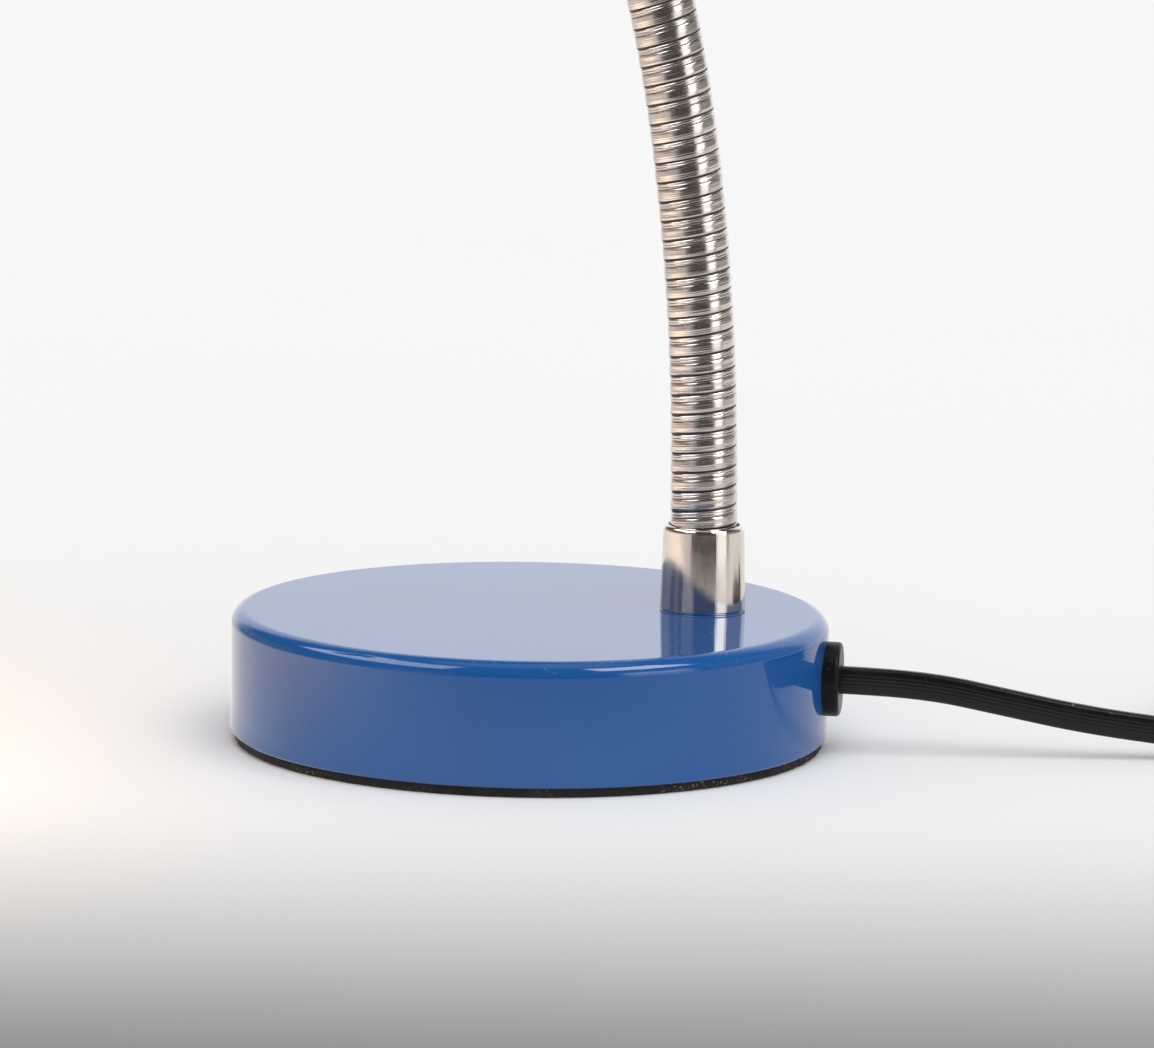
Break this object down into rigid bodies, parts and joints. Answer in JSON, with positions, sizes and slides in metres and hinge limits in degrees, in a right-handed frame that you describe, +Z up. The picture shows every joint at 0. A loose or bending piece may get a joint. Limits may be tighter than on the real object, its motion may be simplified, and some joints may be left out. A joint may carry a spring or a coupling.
{
  "type": "gooseneck desk lamp",
  "caption": "Desk lamp with a weighted round base, a flexible metal gooseneck, a cone shade with a round bulb, a rotary switch on the lampholder and a coiled flat mains cord.",
  "frame": {"origin": "centre of the base's resting face, on the foam pad", "axes": "+Z up from the resting face, +X from the middle of the base towards the foot of the neck; the neck bends in the XZ plane and the head hangs on the -X side"},
  "size_m": [0.5521, 0.169, 0.313],
  "materials": {
    "blue_paint": "gloss",
    "grey_iron": "matte",
    "zinc_steel": "satin",
    "black_foam": "matte",
    "nickel": "polished",
    "hose_steel": "satin",
    "black_rubber": "satin",
    "black_cord": "satin",
    "lead_sheath": "satin",
    "black_plastic": "satin",
    "white_plastic": "satin",
    "brass": "satin",
    "bulb_glass": "gloss",
    "bulb_cap": "satin"
  },
  "bodies": {
    "base": {"base_cover": "blue_paint", "base_weight": "grey_iron", "base_bottom_plate": "zinc_steel", "base_pad": "black_foam", "bottom_screws": "zinc_steel", "cord_bushing": "black_rubber", "cord_clamp": "white_plastic", "clamp_screws": "zinc_steel", "base_lead": "lead_sheath", "neck_nipple": "zinc_steel", "neck_washer": "zinc_steel", "neck_nut": "zinc_steel", "lower_ferrule": "nickel", "hose_link_01": "hose_steel", "lead_link_01": "lead_sheath", "power_cord": "black_cord", "power_cord_coil": "black_cord", "power_cord_tail": "black_cord", "coil_tie": "black_plastic", "plug_body": "black_plastic", "plug_blades": "brass"},
    "neck_02": {"hose_link_02": "hose_steel", "lead_link_02": "lead_sheath"},
    "neck_03": {"hose_link_03": "hose_steel", "lead_link_03": "lead_sheath"},
    "neck_04": {"hose_link_04": "hose_steel", "lead_link_04": "lead_sheath"},
    "neck_05": {"hose_link_05": "hose_steel", "lead_link_05": "lead_sheath"},
    "neck_06": {"hose_link_06": "hose_steel", "lead_link_06": "lead_sheath"},
    "neck_07": {"hose_link_07": "hose_steel", "lead_link_07": "lead_sheath"},
    "neck_08": {"hose_link_08": "hose_steel", "lead_link_08": "lead_sheath"},
    "neck_09": {"hose_link_09": "hose_steel", "lead_link_09": "lead_sheath"},
    "neck_10": {"hose_link_10": "hose_steel", "lead_link_10": "lead_sheath"},
    "neck_11": {"hose_link_11": "hose_steel", "lead_link_11": "lead_sheath"},
    "head": {"hose_link_12": "hose_steel", "lead_link_12": "lead_sheath", "upper_ferrule": "nickel", "head_nipple": "zinc_steel", "head_nut": "zinc_steel", "head_lead": "lead_sheath", "socket_cap": "blue_paint", "lampholder": "black_plastic", "screw_shell": "brass", "centre_contact": "brass", "shade": "blue_paint", "shade_ring": "black_plastic", "bulb_glass": "bulb_glass", "bulb_base": "bulb_cap", "switch_body": "black_plastic"},
    "switch": {"switch_knob": "black_plastic"}
  },
  "joints": [
    {"name": "neck_lower_bend", "type": "hinge", "parent": "base", "child": "neck_02", "pos_m": [0.04022, 0, 0.0726], "axis": [0, -1, 0], "range_deg": [-12, 2]},
    {"name": "neck_sideways", "type": "hinge", "parent": "neck_02", "child": "neck_03", "pos_m": [0.03807, 0, 0.10933], "axis": [0.9959, 0, 0.0906], "range_deg": [-10, 10]},
    {"name": "neck_lower_bend_2", "type": "hinge", "parent": "neck_03", "child": "neck_04", "pos_m": [0.03362, 0, 0.14585], "axis": [0, -1, 0], "range_deg": [-12, 2]},
    {"name": "neck_lower_bend_3", "type": "hinge", "parent": "neck_04", "child": "neck_05", "pos_m": [0.026, 0, 0.18183], "axis": [0, -1, 0], "range_deg": [-12, 2]},
    {"name": "neck_middle_bend", "type": "hinge", "parent": "neck_05", "child": "neck_06", "pos_m": [0.01406, 0, 0.21661], "axis": [0, -1, 0], "range_deg": [-12, 4]},
    {"name": "neck_sideways_2", "type": "hinge", "parent": "neck_06", "child": "neck_07", "pos_m": [-0.00303, 0, 0.24915], "axis": [0.8415, 0, 0.5402], "range_deg": [-10, 10]},
    {"name": "neck_middle_bend_2", "type": "hinge", "parent": "neck_07", "child": "neck_08", "pos_m": [-0.02624, 0, 0.27761], "axis": [0, -1, 0], "range_deg": [-12, 4]},
    {"name": "neck_middle_bend_3", "type": "hinge", "parent": "neck_08", "child": "neck_09", "pos_m": [-0.05648, 0, 0.29824], "axis": [0, -1, 0], "range_deg": [-12, 4]},
    {"name": "neck_upper_bend", "type": "hinge", "parent": "neck_09", "child": "neck_10", "pos_m": [-0.0923, 0, 0.30508], "axis": [0, -1, 0], "range_deg": [-12, 8]},
    {"name": "neck_upper_bend_2", "type": "hinge", "parent": "neck_10", "child": "neck_11", "pos_m": [-0.12683, 0, 0.29372], "axis": [0, -1, 0], "range_deg": [-12, 8]},
    {"name": "neck_upper_bend_3", "type": "hinge", "parent": "neck_11", "child": "head", "pos_m": [-0.15178, 0, 0.26711], "axis": [0, -1, 0], "range_deg": [-12, 8]},
    {"name": "switch_knob_turn", "type": "hinge", "parent": "head", "child": "switch", "pos_m": [-0.1824, -0.03, 0.21407], "axis": [0, -1, 0], "continuous": true}
  ],
  "couplings": [
    {"joint": "neck_lower_bend_2", "follows": "neck_lower_bend", "ratio": 1},
    {"joint": "neck_lower_bend_3", "follows": "neck_lower_bend", "ratio": 1},
    {"joint": "neck_sideways_2", "follows": "neck_sideways", "ratio": 1},
    {"joint": "neck_middle_bend_2", "follows": "neck_middle_bend", "ratio": 1},
    {"joint": "neck_middle_bend_3", "follows": "neck_middle_bend", "ratio": 1},
    {"joint": "neck_upper_bend_2", "follows": "neck_upper_bend", "ratio": 1},
    {"joint": "neck_upper_bend_3", "follows": "neck_upper_bend", "ratio": 1}
  ]
}
